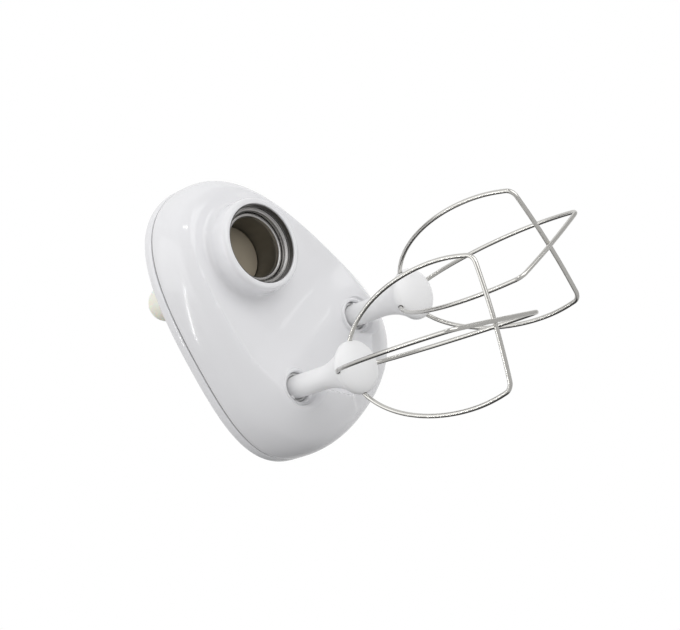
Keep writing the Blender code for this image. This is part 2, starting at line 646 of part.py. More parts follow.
def build():
    white = material("white_gloss", (0.80, 0.80, 0.82), 0.18)
    mats = {
        "steel": material("bright_steel", (0.62, 0.60, 0.58), 0.25, 1.0),
        "sleeve": material("dark_sleeve", (0.05, 0.045, 0.04), 0.45, 0.6),
        "floor": material("tan_floor", (0.16, 0.13, 0.09), 0.4, 0.3),
        "gear": material("acetal_gear", (0.75, 0.74, 0.68), 0.45),
        "brass": material("bronze_bush", (0.55, 0.36, 0.16), 0.35, 1.0),
        "rubber": material("seal_rubber", (0.03, 0.03, 0.03), 0.8),
        "spindle": material("spindle_plastic", (0.7, 0.7, 0.7), 0.4),
        "hub": material("white_hub", (0.82, 0.82, 0.83), 0.3),
        "wire": material("whisk_wire", (0.75, 0.74, 0.72), 0.15, 1.0),
    }
    make_lower_housing(white)
    make_cover(white)
    make_seal(mats["rubber"])
    make_knob(material("cream_knob", (0.80, 0.80, 0.62), 0.35), mats["steel"])
    make_gear_plate(material("gear_plate_steel", (0.5, 0.5, 0.5), 0.35, 1.0), mats["steel"], mats["spindle"])
    make_sun(mats)
    angle_a = meshed_angle(SUN_TEETH, 0.0, SUN_AT, IDLER_A_TEETH, IDLER_A_AT)
    angle_b = meshed_angle(IDLER_A_TEETH, angle_a, IDLER_A_AT, IDLER_B_TEETH, IDLER_B_AT)
    make_idler("a", IDLER_A_TEETH, IDLER_A_AT, angle_a, mats)
    make_idler("b", IDLER_B_TEETH, IDLER_B_AT, angle_b, mats)
    drivers = [(IDLER_A_TEETH, angle_a, IDLER_A_AT), (IDLER_B_TEETH, angle_b, IDLER_B_AT)]
    for number, (at, driver, angle) in enumerate(zip(PINION_AT, drivers, WHISK_ANGLES), start=1):
        axis = make_spindle(number, at, meshed_angle(*driver, PINION_TEETH, at), mats)
        make_whisk(number, at, angle, axis, mats)
    for obj in PARTS.objects:
        shade(obj)


build()
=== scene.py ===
"""Looks of a twin-whisk gear head: finely modelled shells, boss, sockets, whisks and knob."""
import json
import math

import bmesh
import bpy
import numpy as np
from bpy.props import FloatProperty, FloatVectorProperty, IntProperty, PointerProperty
from mathutils import Matrix, Vector
from mathutils.geometry import delaunay_2d_cdt


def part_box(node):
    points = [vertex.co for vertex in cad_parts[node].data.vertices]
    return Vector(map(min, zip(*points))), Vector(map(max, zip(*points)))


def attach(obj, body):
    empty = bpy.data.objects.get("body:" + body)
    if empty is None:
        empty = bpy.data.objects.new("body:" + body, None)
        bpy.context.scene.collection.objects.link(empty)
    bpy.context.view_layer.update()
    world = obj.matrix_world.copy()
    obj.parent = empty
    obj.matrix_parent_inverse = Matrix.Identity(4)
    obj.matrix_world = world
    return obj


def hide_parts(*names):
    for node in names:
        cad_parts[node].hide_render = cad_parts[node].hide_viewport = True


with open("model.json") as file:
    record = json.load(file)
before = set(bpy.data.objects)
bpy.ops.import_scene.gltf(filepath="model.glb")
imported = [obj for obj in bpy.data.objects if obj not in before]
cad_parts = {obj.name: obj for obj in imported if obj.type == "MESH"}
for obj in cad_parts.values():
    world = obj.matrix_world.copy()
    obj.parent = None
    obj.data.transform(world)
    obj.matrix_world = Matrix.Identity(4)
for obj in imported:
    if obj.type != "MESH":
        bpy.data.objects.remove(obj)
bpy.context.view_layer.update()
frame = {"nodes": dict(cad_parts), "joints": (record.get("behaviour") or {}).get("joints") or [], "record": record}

bl_info = {
    "name": "Twin Whisk Head",
    "version": (1, 0, 0),
    "blender": (4, 5, 0),
    "location": "View3D > Sidebar > Whisk Head",
    "description": "Builds the looks of a stand mixer's twin-whisk gear head around its packed frame",
    "category": "Add Mesh",
}

MM = 0.001
GAP = 0.3 * MM
MERGE = 0.001 * MM
BELOW = -5 * MM

# Lower shell: the frame's box, and the exponents of its rounded outline and side
SHELL_LOW, SHELL_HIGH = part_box("lower_housing")
SPLIT_Z = SHELL_HIGH.z
NARROW_END_Y = SHELL_HIGH.y
WIDE_END_Y = SHELL_LOW.y
HALF_WIDTH = 57.8 * MM
OUTLINE_ROUND = 2.135
OUTLINE_TAPER = -0.286
OUTLINE_BELLY = 0.24
SHELL_DEPTH = 41.4 * MM
SHELL_ROUND = 2.84
CENTRE = np.array((0.0, -61.2 * MM))
WALL = 2.6 * MM
EDGE_STEPS = 240

# Dish in the underside: its floor, how it falls to the sides and the whisks, and its end
TROUGH_Z = 15.0 * MM
CREASE_BLEND = 1.0 * MM
SIDE_FALL = 5.5 * MM
SIDE_REACH = 48 * MM
WHISK_FALL = 3.2 * MM
WHISK_FALL_RUN = (40 * MM, 66 * MM)
END_REACH = 101 * MM
END_BEND = 17 * MM
END_BEND_RUN = (8 * MM, 28 * MM)
END_SLANT = 0.25
END_FALL = 16 * MM
END_BEFORE = 5.5 * MM
END_AFTER = 4.5 * MM
END_BLEND = 1.6 * MM
END_BLEND_RUN = (74 * MM, 90 * MM)

# Grid of a skin: rings at shares of the outline, then staggered rows inside them; the share where a
# rounded side gives way to it, and how strongly the collars bend into it
RING_START = 0.018
RING_STEP = 0.02
RING_END = 0.82
GRID_MARGIN = 0.012
GRID_Y = (-100 * MM, 12 * MM)
GRID_X = 60 * MM
ROW_RATIO = 0.866
SIDE_SHARE = 0.93
INNER_SHARE = 0.2
SLOPE_STEP = 0.2 * MM
BOSS_PULL = 0.62
SOCKET_PULL = 0.45
PAD_PULL = 0.4

# Upper cover and the seal under it
COVER_BOTTOM_Z = 41.3 * MM
COVER_RIM_Z = 46.6 * MM
COVER_DOME = 6.4 * MM
COVER_ROUND = 2.5
COVER_WALL = 2.4 * MM

# Boss and sleeve
BOSS_R = 26.6 * MM
MOUTH_R = 22.6 * MM
SLEEVE_BORE_R = 17.4 * MM
SLEEVE_R = 19.4 * MM

# Whisks and their sockets, on the joints' axes
AXES = {joint["name"]: joint["pos_m"][:2] for joint in frame["joints"] if joint["type"] == "hinge"}
WHISK_AT = [AXES["spindle_1_spin"], AXES["spindle_2_spin"]]
AXLE_AT = [AXES["idler_a_spin"], AXES["idler_b_spin"]]
WHISK_ANGLES = (math.radians(119.4), math.radians(93.7))
POST_AT = [(41 * MM, -36 * MM), (-41 * MM, -36 * MM), (18 * MM, -97 * MM), (-18 * MM, -97 * MM)]
SOCKET_HOLE_R = 8.32 * MM
SOCKET_LIP_R = 9.8 * MM
SOCKET_FADE_R = 14 * MM
SOCKET_FLAT_Z = 8.6 * MM
BUSH_SEAT_R = 10.8 * MM
SHANK_R = 6.4 * MM
SPINDLE_BORE_R = 6.8 * MM
SPINDLE_R = 8.0 * MM
HUB_RIM_R = 14.6 * MM
HUB_RIM_Z = -37.0 * MM
CAGE_R = 37.75 * MM
CAGE_MID_Z = -104.0 * MM
CAGE_HALF_LENGTH = 72.0 * MM
CAGE_TIP_Z = -138.5 * MM
CORNER_R = 5.5 * MM
LOOP_SPACING = 2.8 * MM
LIFT_START = 100 * MM
WIRE_HOLE_R = 1.5 * MM
FLARE_TOP_Z = -10 * MM
FLARE_LENGTH = 26 * MM
FLARE_ROUND = 2.1
EAR_TURN = math.radians(45)
EAR_SIZE = (15.2 * MM, 2.4 * MM, 4.2 * MM)
EAR_SLOT_SIZE = (24 * MM, 3.2 * MM, 6 * MM)

# Knob on the cover
KNOB_LOW, KNOB_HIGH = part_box("knob")
KNOB_AT = tuple(((KNOB_LOW + KNOB_HIGH) / 2)[:2])
KNOB_R = 11.8 * MM


# ---------------------------------------------------------------- shader graph

class Value:
    """A shader socket that takes part in arithmetic; each operation adds a Math node."""

    def __init__(self, graph, socket):
        self.graph = graph
        self.socket = socket

    def maths(self, operation, first, second):
        return self.graph.add("ShaderNodeMath", {"operation": operation}, {0: first, 1: second})

    def __add__(self, other):
        return self.maths("ADD", self, other)

    def __radd__(self, other):
        return self.maths("ADD", other, self)

    def __sub__(self, other):
        return self.maths("SUBTRACT", self, other)

    def __rsub__(self, other):
        return self.maths("SUBTRACT", other, self)

    def __mul__(self, other):
        return self.maths("MULTIPLY", self, other)

    def __rmul__(self, other):
        return self.maths("MULTIPLY", other, self)


class Graph:
    """The nodes of one material around its Principled shader."""

    def __init__(self, name, colour, roughness, metallic=0.0, **constants):
        self.material = bpy.data.materials.new(name)
        self.material.use_nodes = True
        self.tree = self.material.node_tree
        self.shader = self.tree.nodes["Principled BSDF"]
        self.colour = tuple(colour)
        constants.update(Base_Color=(*colour, 1), Roughness=roughness, Metallic=metallic)
        for socket, constant in constants.items():
            self.shader.inputs[socket.replace("_", " ")].default_value = constant
        self.place = self.add("ShaderNodeTexCoord", output="Object")

    def add(self, kind, settings=None, sockets=None, output=0):
        """Add a node: its settings first, then the values or links of its sockets."""
        node = self.tree.nodes.new(kind)
        for key, setting in (settings or {}).items():
            setattr(node, key, setting)
        for key, value in (sockets or {}).items():
            self.feed(node.inputs[key], value)
        return Value(self, node.outputs[output])

    def feed(self, socket, value):
        if isinstance(value, Value):
            self.tree.links.new(value.socket, socket)
        else:
            socket.default_value = value

    def set(self, socket, value):
        self.feed(self.shader.inputs[socket], value)

    def noise(self, scale, detail=3.0, at=None):
        """Noise from 0 to 1; scale is in cells a metre."""
        return self.add("ShaderNodeTexNoise", None,
                        {"Vector": at or self.place, "Scale": scale, "Detail": detail})

    def tint(self, factor, other):
        """Mix the base colour towards another by a factor."""
        return self.add("ShaderNodeMix", {"data_type": "RGBA"},
                        {0: factor, 6: (*self.colour, 1), 7: (*other, 1)}, output=2)

    def split(self, vector):
        """The x, y and z of a vector."""
        parts = self.add("ShaderNodeSeparateXYZ", None, {0: vector})
        return [Value(self, socket) for socket in parts.socket.node.outputs]

    def radius(self, centre):
        """Distance from a vertical axis."""
        x, y, _ = self.split(self.place)
        flat = self.add("ShaderNodeCombineXYZ", None, {0: x - centre[0], 1: y - centre[1]})
        return self.add("ShaderNodeVectorMath", {"operation": "LENGTH"}, {0: flat}, output="Value")

    def bump(self, height, depth):
        self.set("Normal", self.add("ShaderNodeBump", None, {"Height": height, "Distance": depth}))


def moulded(name, colour, roughness, shade, grain=900.0, depth=0.01 * MM, **constants):
    """Moulded plastic: faint flow mottling, uneven gloss and a very fine skin."""
    graph = Graph(name, colour, roughness, **constants)
    flow = graph.noise(24.0, 2.0)
    graph.set("Base Color", graph.tint(flow * 0.4, shade))
    graph.set("Roughness", graph.noise(170.0) * 0.06 + (roughness - 0.03))
    graph.bump(graph.noise(grain, 2.0), depth)
    return graph.material


def machined(name, colour, roughness, centre=(0, 0), pitch=2400.0, dark=0.7, **constants):
    """Turned metal: tool marks round a vertical axis, with faint stains."""
    graph = Graph(name, colour, roughness, 1.0, **constants)
    _, _, height = graph.split(graph.place)
    marks = graph.add("ShaderNodeCombineXYZ", None, {0: graph.radius(centre), 1: height})
    lines = graph.noise(pitch, 2.0, at=marks)
    graph.set("Roughness", lines * 0.2 + (roughness - 0.1))
    graph.set("Base Color", graph.tint(graph.noise(80.0) * 0.5, tuple(c * dark for c in colour)))
    graph.bump(lines, 0.008 * MM)
    return graph.material


def drawn(name, colour, roughness):
    """Polished drawn wire with faint smears."""
    graph = Graph(name, colour, roughness, 1.0)
    smear = graph.noise(110.0, 4.0)
    graph.set("Roughness", smear * 0.12 + (roughness - 0.05))
    graph.set("Base Color", graph.tint(smear * 0.35, tuple(c * 0.78 for c in colour)))
    graph.bump(graph.noise(1800.0, 2.0), 0.0008 * MM)
    return graph.material


def plated(name, colour, roughness):
    """Zinc-plated sheet: cloudy crystals and a dull shine."""
    graph = Graph(name, colour, roughness, 1.0)
    cloud = graph.add("ShaderNodeTexVoronoi", {"feature": "F1"}, {"Vector": graph.place, "Scale": 260.0},
                      output="Distance")
    graph.set("Roughness", cloud * 0.2 + roughness)
    graph.set("Base Color", graph.tint(cloud * 0.5, tuple(c * 0.7 for c in colour)))
    graph.bump(graph.noise(900.0), 0.01 * MM)
    return graph.material


def sintered(name, colour, roughness):
    """Oil-filled sintered bronze: pores and darker patches."""
    graph = Graph(name, colour, roughness, 1.0)
    pores = graph.noise(2600.0, 4.0)
    graph.set("Base Color", graph.tint(graph.noise(300.0) * 0.6, tuple(c * 0.5 for c in colour)))
    graph.set("Roughness", pores * 0.25 + (roughness - 0.12))
    graph.bump(pores, 0.03 * MM)
    return graph.material


# ---------------------------------------------------------------- mesh helpers

def link_mesh(name, mesh, material):
    obj = bpy.data.objects.new(name, mesh)
    bpy.context.scene.collection.objects.link(obj)
    mesh.materials.clear()
    mesh.materials.append(material)
    return obj


def merge_doubles(mesh):
    """Merge a mesh's doubles, then turn its faces out."""
    work = bmesh.new()
    work.from_mesh(mesh)
    bmesh.ops.remove_doubles(work, verts=work.verts, dist=MERGE)
    bmesh.ops.recalc_face_normals(work, faces=work.faces)
    work.to_mesh(mesh)
    work.free()


def solid(name, points, faces, material):
    """An object from points and faces, its doubles merged and its faces turned out."""
    mesh = bpy.data.meshes.new(name)
    mesh.from_pydata([tuple(p) for p in points], [], faces)
    merge_doubles(mesh)
    return link_mesh(name, mesh, material)


def smooth(obj, angle=32):
    obj.data.shade_smooth()
    obj.data.set_sharp_from_angle(angle=math.radians(angle))
    return obj


def rounded(profile, radius, steps=3, closed=True):
    """A profile of (r, z) points with its corners rounded."""
    points = [Vector(p) for p in profile]
    bent = []
    for i, point in enumerate(points):
        if radius == 0 or (not closed and i in (0, len(points) - 1)):
            bent.append(point)
            continue
        before, after = points[i - 1] - point, points[(i + 1) % len(points)] - point
        reach = min(radius, before.length * 0.45, after.length * 0.45)
        a, b = point + before.normalized() * reach, point + after.normalized() * reach
        bent += [(1 - t) ** 2 * a + 2 * t * (1 - t) * point + t * t * b for t in np.linspace(0, 1, steps + 1)]
    return bent


def quads(rows, columns, start=0, close_rows=False):
    """Faces of a grid of points whose columns wrap round."""
    faces = []
    for r in range(rows if close_rows else rows - 1):
        here, there = start + r * columns, start + (r + 1) % rows * columns
        for c in range(columns):
            d = (c + 1) % columns
            faces.append((here + c, there + c, there + d, here + d))
    return faces


def turned(name, profile, material, at=(0, 0), steps=96, ring=True, corner=0.3 * MM, angle=32):
    """A turned piece: a closed ring profile, or an open one from axis to axis."""
    bent = rounded(profile, corner, closed=ring)
    turn = np.arange(steps) * math.tau / steps
    points = []
    for r, z in bent:
        points += [(at[0] + r * math.cos(a), at[1] + r * math.sin(a), z) for a in turn]
    return smooth(solid(name, points, quads(len(bent), steps, close_rows=ring), material), angle)


def plug(radius, low, high, at=(0, 0), steps=64):
    """A plain cylinder used to cut or fill."""
    return turned("plug", [(0, high), (radius, high), (radius, low), (0, low)],
                  FINISH["white_shell"], at, steps, ring=False, corner=0)


def box_bar(size, at, turn):
    """A plain bar used to cut or fill, turned about the vertical."""
    mesh = bpy.data.meshes.new("bar")
    work = bmesh.new()
    bmesh.ops.create_cube(work, size=1.0)
    place = Matrix.Translation(at) @ Matrix.Rotation(turn, 4, "Z") @ Matrix.Diagonal((*size, 1))
    bmesh.ops.transform(work, verts=work.verts, matrix=place)
    work.to_mesh(mesh)
    work.free()
    return link_mesh("bar", mesh, FINISH["white_shell"])


def plain_copy(obj, name, material):
    """A plain mesh object of an object's evaluated modifiers; the original goes."""
    bpy.context.view_layer.update()
    mesh = bpy.data.meshes.new_from_object(obj.evaluated_get(bpy.context.evaluated_depsgraph_get()))
    bpy.data.objects.remove(obj)
    mesh.name = name
    for polygon in mesh.polygons:
        polygon.material_index = 0
    return link_mesh(name, mesh, material)


def carved(obj, steps, angle=32):
    """Apply (operation, object) steps with exact booleans and remove their objects."""
    name, material = obj.name, obj.data.materials[0]
    for operation, other in steps:
        cut = obj.modifiers.new("cut", "BOOLEAN")
        cut.operation = operation
        cut.solver = "EXACT"
        cut.object = other
    obj.name = "blank"
    plain = plain_copy(obj, name, material)
    for _, other in steps:
        bpy.data.objects.remove(other)
    work = bmesh.new()
    work.from_mesh(plain.data)
    bmesh.ops.dissolve_degenerate(work, edges=work.edges, dist=0.002 * MM)
    work.to_mesh(plain.data)
    work.free()
    return smooth(plain, angle)


def settle(obj, body, nodes):
    """Ride on a body and stand for its CAD nodes."""
    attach(obj, body)
    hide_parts(*nodes)


# ---------------------------------------------------------------- shell surfaces

def signed_power(value, exponent):
    return np.sign(value) * np.abs(value) ** exponent


def outline(steps, inset=0.0):
    """The egg outline as an array of points, moved inwards by inset."""
    turn = (np.arange(steps) + 0.5) * math.tau / steps
    across = signed_power(np.cos(turn), 2 / OUTLINE_ROUND)
    along = signed_power(np.sin(turn), 2 / OUTLINE_ROUND)
    width = HALF_WIDTH * (1 + OUTLINE_TAPER * along + OUTLINE_BELLY * along ** 2)
    middle, half = (NARROW_END_Y + WIDE_END_Y) / 2, (NARROW_END_Y - WIDE_END_Y) / 2
    points = np.stack([width * across, middle + half * along], axis=1)
    run = np.roll(points, -1, axis=0) - np.roll(points, 1, axis=0)
    run /= np.linalg.norm(run, axis=1)[:, None]
    return points + np.stack([-run[:, 1], run[:, 0]], axis=1) * inset


def edge_by_angle(inset):
    """Angles and reaches of the outline about the shrink centre, sorted by angle."""
    edge = outline(1440, inset) - CENTRE
    angles = np.arctan2(edge[:, 1], edge[:, 0])
    order = np.argsort(angles)
    return angles[order], np.hypot(edge[:, 0], edge[:, 1])[order]


EDGES = {inset: edge_by_angle(inset) for inset in (0.0, WALL, COVER_WALL)}


def shares(x, y, inset=0.0):
    """How far points lie from the shrink centre to the outline, 0 to 1."""
    dx, dy = x - CENTRE[0], y - CENTRE[1]
    return np.hypot(dx, dy) / np.interp(np.arctan2(dy, dx), *EDGES[inset], period=math.tau)


def smooth_step(value, start, end):
    share = np.clip((value - start) / (end - start), 0, 1)
    return share * share * (3 - 2 * share)


def smooth_max(a, b, blend):
    share = np.clip(0.5 + (a - b) / (2 * blend), 0, 1)
    return b + (a - b) * share + blend * share * (1 - share)


def bulge(x, y, exponent, inset):
    """1 at the middle of the plan, falling to 0 round a superellipse at its edge."""
    return (1 - np.clip(shares(x, y, inset), 0, 1) ** exponent) ** (1 / exponent)


def underside(x, y, inset=0.0):
    """Height of the lower shell's skin, with the dish pressed in between boss and whisks."""
    skin = SPLIT_Z - (SHELL_DEPTH - inset) * bulge(x, y, SHELL_ROUND, inset)
    side_fall = SIDE_FALL * (x / SIDE_REACH) ** 4
    whisk_fall = WHISK_FALL * smooth_step(-y, *WHISK_FALL_RUN)
    across = np.abs(x)
    end = END_REACH - END_BEND * smooth_step(across, *END_BEND_RUN)
    end = end - END_SLANT * np.maximum(across - END_BEND_RUN[1], 0) + inset
    end_fall = END_FALL * smooth_step(-y, end - END_BEFORE, end + END_AFTER)
    blend = CREASE_BLEND + END_BLEND * smooth_step(-y, *END_BLEND_RUN)
    height = smooth_max(skin, TROUGH_Z - side_fall - whisk_fall - end_fall + inset, blend)
    socket_x, socket_y = WHISK_AT[0]
    near = 1 - smooth_step(np.hypot(across - socket_x, y - socket_y), SOCKET_LIP_R, SOCKET_FADE_R)
    return height + (np.maximum(height, SOCKET_FLAT_Z + inset) - height) * near


def crown(x, y, inset=0.0):
    """Height of the cover's skin."""
    return COVER_RIM_Z + (COVER_DOME - inset) * bulge(x, y, COVER_ROUND, inset)


def levels(inset_heights, steps=EDGE_STEPS):
    """Rings of the outline at given insets and heights."""
    return [np.column_stack([outline(steps, inset), np.full(steps, z)]) for inset, z in inset_heights]


def band(height, exponent, inner_share, rows, steps=EDGE_STEPS, inset=0.0):
    """Rings from just inside the outline inwards over its rounded side, even round the bend."""
    edge = outline(steps, inset) - CENTRE
    last = math.acos(inner_share ** (exponent / 2))
    grid = []
    for k in range(1, rows + 1):
        plan = edge * math.cos(last * k / rows) ** (2 / exponent) + CENTRE
        grid.append(np.column_stack([plan, height(plan[:, 0], plan[:, 1], inset)]))
    return grid


def plan_points(inner_share, spacing, holes):
    """Points that fill the plan inside a share of the outline, outside round holes."""
    edge = outline(EDGE_STEPS) - CENTRE
    ring_shares = np.arange(inner_share - RING_START, RING_END, -RING_STEP)
    found = [edge * share + CENTRE for share in ring_shares]
    for k, y in enumerate(np.arange(*GRID_Y, spacing * ROW_RATIO)):
        x = np.arange(-GRID_X, GRID_X, spacing) + (k % 2) * spacing / 2
        line = np.column_stack([x, np.full(len(x), y)])
        found.append(line[shares(line[:, 0], line[:, 1]) < ring_shares[-1] - GRID_MARGIN])
    points = np.vstack(found)
    for (x, y), radius, _ in holes:
        points = points[np.hypot(points[:, 0] - x, points[:, 1] - y) > radius + spacing * 0.5]
    return points


def curve_weights(t):
    """Weights of a cubic curve's four points."""
    return ((1 - t) ** 3, 3 * t * (1 - t) ** 2, 3 * t * t * (1 - t), t ** 3)


def circle(at, radius, steps):
    turn = np.arange(steps) * math.tau / steps
    return np.column_stack([at[0] + radius * np.cos(turn), at[1] + radius * np.sin(turn)])


def skin(height, edge, inner_share, spacing, holes):
    """Triangulate the plan between an edge ring and round holes, lifted to a height."""
    chains = [edge] + [circle(*hole) for hole in holes]
    links, start = [], 0
    for chain in chains:
        links += [(start + i, start + (i + 1) % len(chain)) for i in range(len(chain))]
        start += len(chain)
    plan = np.vstack(chains + [plan_points(inner_share, spacing, holes)])
    out, _, faces, *_ = delaunay_2d_cdt([Vector(p) for p in plan], links, [], 0, 1e-7)
    out = np.array([tuple(p) for p in out])
    middles = np.array([out[list(face)].mean(axis=0) for face in faces])
    kept = shares(middles[:, 0], middles[:, 1]) < inner_share
    for at, radius, _ in holes:
        kept &= np.hypot(middles[:, 0] - at[0], middles[:, 1] - at[1]) > radius * 0.999
    return (np.column_stack([out, height(out[:, 0], out[:, 1])]),
            [tuple(face) for face, keep in zip(faces, kept) if keep])


def collar(height, at, radius, profile, steps, pull, rows=14):
    """Rings from a circle on a skin, bending smoothly into a turned profile of (r, z)."""
    ring = circle(at, radius, steps)
    out = (ring - at) / radius
    z = height(ring[:, 0], ring[:, 1])
    further = ring + out * SLOPE_STEP
    slope = (height(further[:, 0], further[:, 1]) - z) / SLOPE_STEP
    (wall_r, wall_z), run = profile[0], (Vector(profile[1]) - Vector(profile[0])).normalized()
    reach = pull * (radius - wall_r)
    lean = np.hypot(1, slope)
    grid = []
    for t in np.arange(rows) / rows:
        b = curve_weights(t)
        r = b[0] * radius + b[1] * (radius - reach / lean) + b[2] * (wall_r - run.x * reach) + b[3] * wall_r
        h = b[0] * z + b[1] * (z - slope * reach / lean) + b[2] * (wall_z - run.y * reach) + b[3] * wall_z
        grid.append(np.column_stack([at[0] + out[:, 0] * r, at[1] + out[:, 1] * r, h]))
    for r, h in profile:
        grid.append(np.column_stack([circle(at, r, steps), np.full(steps, h)]))
    return grid


class Soup:
    """Collects the points and faces of one mesh."""

    def __init__(self):
        self.points = []
        self.faces = []

    def rings(self, rows, closing=None, opening=None):
        """Add wrapped rows; the opening and closing points cap the first and last row."""
        start, columns = len(self.points), len(rows[0])
        for row in rows:
            self.points += [tuple(p) for p in row]
        self.faces += quads(len(rows), columns, start)
        for tip, first in ((opening, start), (closing, start + (len(rows) - 1) * columns)):
            if tip is not None:
                self.points.append(tuple(tip))
                self.faces += [(first + c, first + (c + 1) % columns, len(self.points) - 1)
                               for c in range(columns)]

    def patch(self, points, faces):
        start = len(self.points)
        self.points += [tuple(p) for p in points]
        self.faces += [tuple(start + i for i in face) for face in faces]


def arc(centre, across, down, first, last, steps):
    """Points of an elliptical quarter or part of one, as (r, z)."""
    return [(centre[0] + across * math.cos(math.radians(a)), centre[1] + down * math.sin(math.radians(a)))
            for a in np.linspace(first, last, steps)]


def shell_blank(settings, material):
    """The lower shell as a solid: its skin, boss and socket collars, with blind bores."""
    blank = Soup()
    boss_ring = ((0, 0), settings.boss_blend, 128)
    socket_rings = [(tuple(at), settings.socket_blend, 80) for at in WHISK_AT]
    side = levels([(0.4 * MM, SPLIT_Z), (0.12 * MM, SPLIT_Z - 0.1 * MM), (0, SPLIT_Z - 0.4 * MM)])
    side += band(underside, SHELL_ROUND, SIDE_SHARE, 16)
    blank.rings(side, opening=(*CENTRE, SPLIT_Z))
    blank.patch(*skin(underside, side[-1][:, :2], SIDE_SHARE, 1.0 * MM, [boss_ring] + socket_rings))
    boss = [(BOSS_R, 10 * MM), (BOSS_R, 8 * MM), (BOSS_R, 5 * MM)]
    boss += arc((BOSS_R - 2.4 * MM, 3 * MM), 2.4 * MM, -3 * MM, 0, 90, 9)
    boss += arc((MOUTH_R + 0.6 * MM, 0.6 * MM), -0.6 * MM, -0.6 * MM, 90, 0, 5)
    boss.append((MOUTH_R, 20 * MM))
    blank.rings(collar(underside, *boss_ring[:2], boss, 128, BOSS_PULL), closing=(0, 0, 20 * MM))
    socket = arc((9.5 * MM, 11.2 * MM), 1.18 * MM, -1.4 * MM, 60, 180, 10)
    socket += [(SOCKET_HOLE_R, 14.6 * MM), (BUSH_SEAT_R, 14.6 * MM), (BUSH_SEAT_R, 20 * MM)]
    for at, radius, steps in socket_rings:
        blank.rings(collar(underside, at, radius, socket, steps, SOCKET_PULL), closing=(*at, 20 * MM))
    return solid("lower_shell", blank.points, blank.faces, material)


def shell_cavity():
    """The space inside the lower shell, less what stands up in it."""
    space = Soup()
    rows = levels([(WALL, SPLIT_Z + 1 * MM), (WALL, SPLIT_Z - 0.5 * MM)], 96)
    rows += band(underside, SHELL_ROUND, INNER_SHARE, 24, 96, WALL)
    floor = float(underside(*CENTRE.reshape(2, 1), WALL)[0])
    space.rings(rows, opening=(*CENTRE, SPLIT_Z + 1 * MM), closing=(*CENTRE, floor))
    cavity = solid("cavity", space.points, space.faces, FINISH["white_shell"])
    steps = [("DIFFERENCE", plug(25.6 * MM, BELOW, 21.5 * MM))]
    for at in WHISK_AT:
        steps += [("DIFFERENCE", plug(13.2 * MM, BELOW, 22.5 * MM, at, 48))]
    for at in POST_AT:
        steps += [("DIFFERENCE", plug(4.2 * MM, BELOW, 34.7 * MM, at, 24)),
                  ("UNION", plug(1.8 * MM, 26.5 * MM, 36 * MM, at, 16))]
    for at in AXLE_AT:
        steps += [("DIFFERENCE", plug(7 * MM, BELOW, 22.5 * MM, at, 32)),
                  ("UNION", plug(4.3 * MM, 18.5 * MM, 24 * MM, at, 24))]
    return carved(cavity, steps)


def inner_dome():
    """Rings of the cover's inner skin."""
    return band(crown, COVER_ROUND, INNER_SHARE, 12, EDGE_STEPS, COVER_WALL)


def cover_blank(material):
    """The cover with the knob's pad, hollow underneath."""
    blank = Soup()
    pad = (KNOB_AT, 18 * MM, 96)
    under = [(4.5 * MM, COVER_RIM_Z - 1.5 * MM), (4.5 * MM, 38.3 * MM), (4.2 * MM, 38 * MM),
             (3.2 * MM, 38 * MM), (2.9 * MM, 38.3 * MM), (2.9 * MM, COVER_BOTTOM_Z),
             (0.4 * MM, COVER_BOTTOM_Z), (0.12 * MM, COVER_BOTTOM_Z + 0.1 * MM),
             (0, COVER_BOTTOM_Z + 0.4 * MM), (0, 44 * MM), (0, COVER_RIM_Z)]
    inside = inner_dome()
    top = float(crown(*CENTRE.reshape(2, 1), COVER_WALL)[0])
    outside = band(crown, COVER_ROUND, SIDE_SHARE, 12)
    blank.rings(inside[::-1] + levels(under) + outside, opening=(*CENTRE, top))
    blank.patch(*skin(crown, outside[-1][:, :2], SIDE_SHARE, 3 * MM, [pad]))
    top_of_pad = [(13.6 * MM, 52.75 * MM)]
    top_of_pad += arc((12.2 * MM, 52.75 * MM), 0.9 * MM, 0.85 * MM, 15, 90, 6) + [(6 * MM, 53.6 * MM)]
    blank.rings(collar(crown, *pad[:2], top_of_pad, 96, PAD_PULL), closing=(*KNOB_AT, 53.6 * MM))
    return solid("top_cover", blank.points, blank.faces, material)


# ---------------------------------------------------------------- whisks

def side_radius(z):
    """Radius of a wire loop's side at a height."""
    return CAGE_R * math.sqrt(1 - ((z - CAGE_MID_Z) / CAGE_HALF_LENGTH) ** 2)


def loop_half():
    """Half of a wire loop as (radius, z): hub end, elliptical side, bent corner, crossing at the tip."""
    entry_z = HUB_RIM_Z - 0.6 * MM
    sag = 1.2 * MM
    last = math.radians(84.5)
    corner_z = CAGE_TIP_Z + sag + CORNER_R
    for _ in range(4):
        slope = (side_radius(corner_z + 0.01 * MM) - side_radius(corner_z)) / (0.01 * MM)
        first = math.atan(slope)
        corner_z = CAGE_TIP_Z + sag + CORNER_R * (math.sin(last) - math.sin(first))
    side = [Vector((side_radius(z), z))
            for z in entry_z + (corner_z - entry_z) * np.linspace(0, 1, 56) ** 1.25]
    run = (side[1] - side[0]).normalized()
    start = [side[0] - run * 4.2 * MM, side[0] - run * 2 * MM]
    middle = side[-1] - Vector((math.cos(first), -math.sin(first))) * CORNER_R
    bend = [middle + Vector((math.cos(a), -math.sin(a))) * CORNER_R for a in np.linspace(first, last, 14)[1:]]
    last_r, last_z = bend[-1]
    tip = [Vector((last_r * s, CAGE_TIP_Z + (last_z - CAGE_TIP_Z) * s * s))
           for s in np.linspace(1, 0, 9)[1:-1]]
    return start + side + bend + tip


